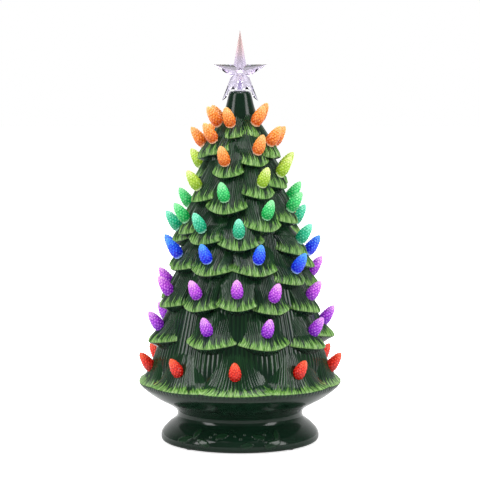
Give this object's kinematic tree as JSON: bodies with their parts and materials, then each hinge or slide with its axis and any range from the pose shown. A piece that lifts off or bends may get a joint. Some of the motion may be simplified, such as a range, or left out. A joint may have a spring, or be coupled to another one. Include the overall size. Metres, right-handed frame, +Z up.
{
  "type": "lighted ceramic christmas tree",
  "caption": "Battery-lit glazed ceramic christmas tree with rings of drooping boughs, glowing plastic bulbs and a clear star that turns and lifts off.",
  "frame": {"origin": "centre of the surface that the tree stands on, on the axis of trunk, foot and crown", "axes": "+Z up along the trunk, -Y towards the front of the tree, +X to the right seen from the front"},
  "size_m": [0.1901, 0.1904, 0.382],
  "materials": {
    "green_glaze": "gloss",
    "clear_plastic": "gloss",
    "black_plastic": "satin",
    "black_plastic_dark": "satin",
    "silicone": "satin",
    "cell_jacket": "gloss",
    "nickel_plate": "gloss",
    "screw_steel": "satin",
    "switch_case": "satin",
    "switch_knob_plastic": "satin",
    "circuit_board": "satin",
    "white_plastic": "satin",
    "led_lens": "gloss",
    "lead_insulation": "satin",
    "pad_rubber": "satin",
    "red_lens": "gloss",
    "purple_lens": "gloss",
    "violet_lens": "gloss",
    "blue_lens": "gloss",
    "teal_lens": "gloss",
    "green_lens": "gloss",
    "lime_lens": "gloss",
    "orange_lens": "gloss",
    "amber_lens": "gloss"
  },
  "bodies": {
    "tree": {"ceramic_tree": "green_glaze", "base_cover": "black_plastic", "base_seal": "silicone", "battery_box": "black_plastic_dark", "batteries": "cell_jacket", "contact_plates": "nickel_plate", "contact_springs": "nickel_plate", "box_screws": "screw_steel", "switch_body": "switch_case", "switch_screws": "screw_steel", "timer_board": "circuit_board", "board_screws": "screw_steel", "light_mast": "white_plastic", "mast_screws": "screw_steel", "light_boards": "circuit_board", "leds": "led_lens", "battery_leads": "lead_insulation", "switch_leads": "lead_insulation", "mast_leads": "lead_insulation", "rubber_feet": "pad_rubber", "red_bulbs": "red_lens", "purple_bulbs": "purple_lens", "violet_bulbs": "violet_lens", "blue_bulbs": "blue_lens", "teal_bulbs": "teal_lens", "green_bulbs": "green_lens", "lime_bulbs": "lime_lens", "orange_bulbs": "orange_lens", "amber_bulbs": "amber_lens"},
    "star_peg": {"star_peg": "clear_plastic"},
    "star": {"star_topper": "clear_plastic"},
    "battery_door": {"battery_door": "black_plastic"},
    "switch_knob": {"switch_knob": "switch_knob_plastic"}
  },
  "joints": [
    {"name": "star_lift", "type": "slide", "parent": "tree", "child": "star_peg", "axis": [0, 0, 1], "range_m": [0, 0.016]},
    {"name": "star_turn", "type": "hinge", "parent": "star_peg", "child": "star", "pos_m": [0, 0, 0.3276], "axis": [0, 0, 1], "continuous": true},
    {"name": "battery_door_hinge", "type": "hinge", "parent": "tree", "child": "battery_door", "pos_m": [-0.0268, 0, 0.00495], "axis": [0, 1, 0], "range_deg": [0, 90]},
    {"name": "switch_slide", "type": "slide", "parent": "tree", "child": "switch_knob", "axis": [1, 0, 0], "range_m": [0, 0.004]}
  ]
}
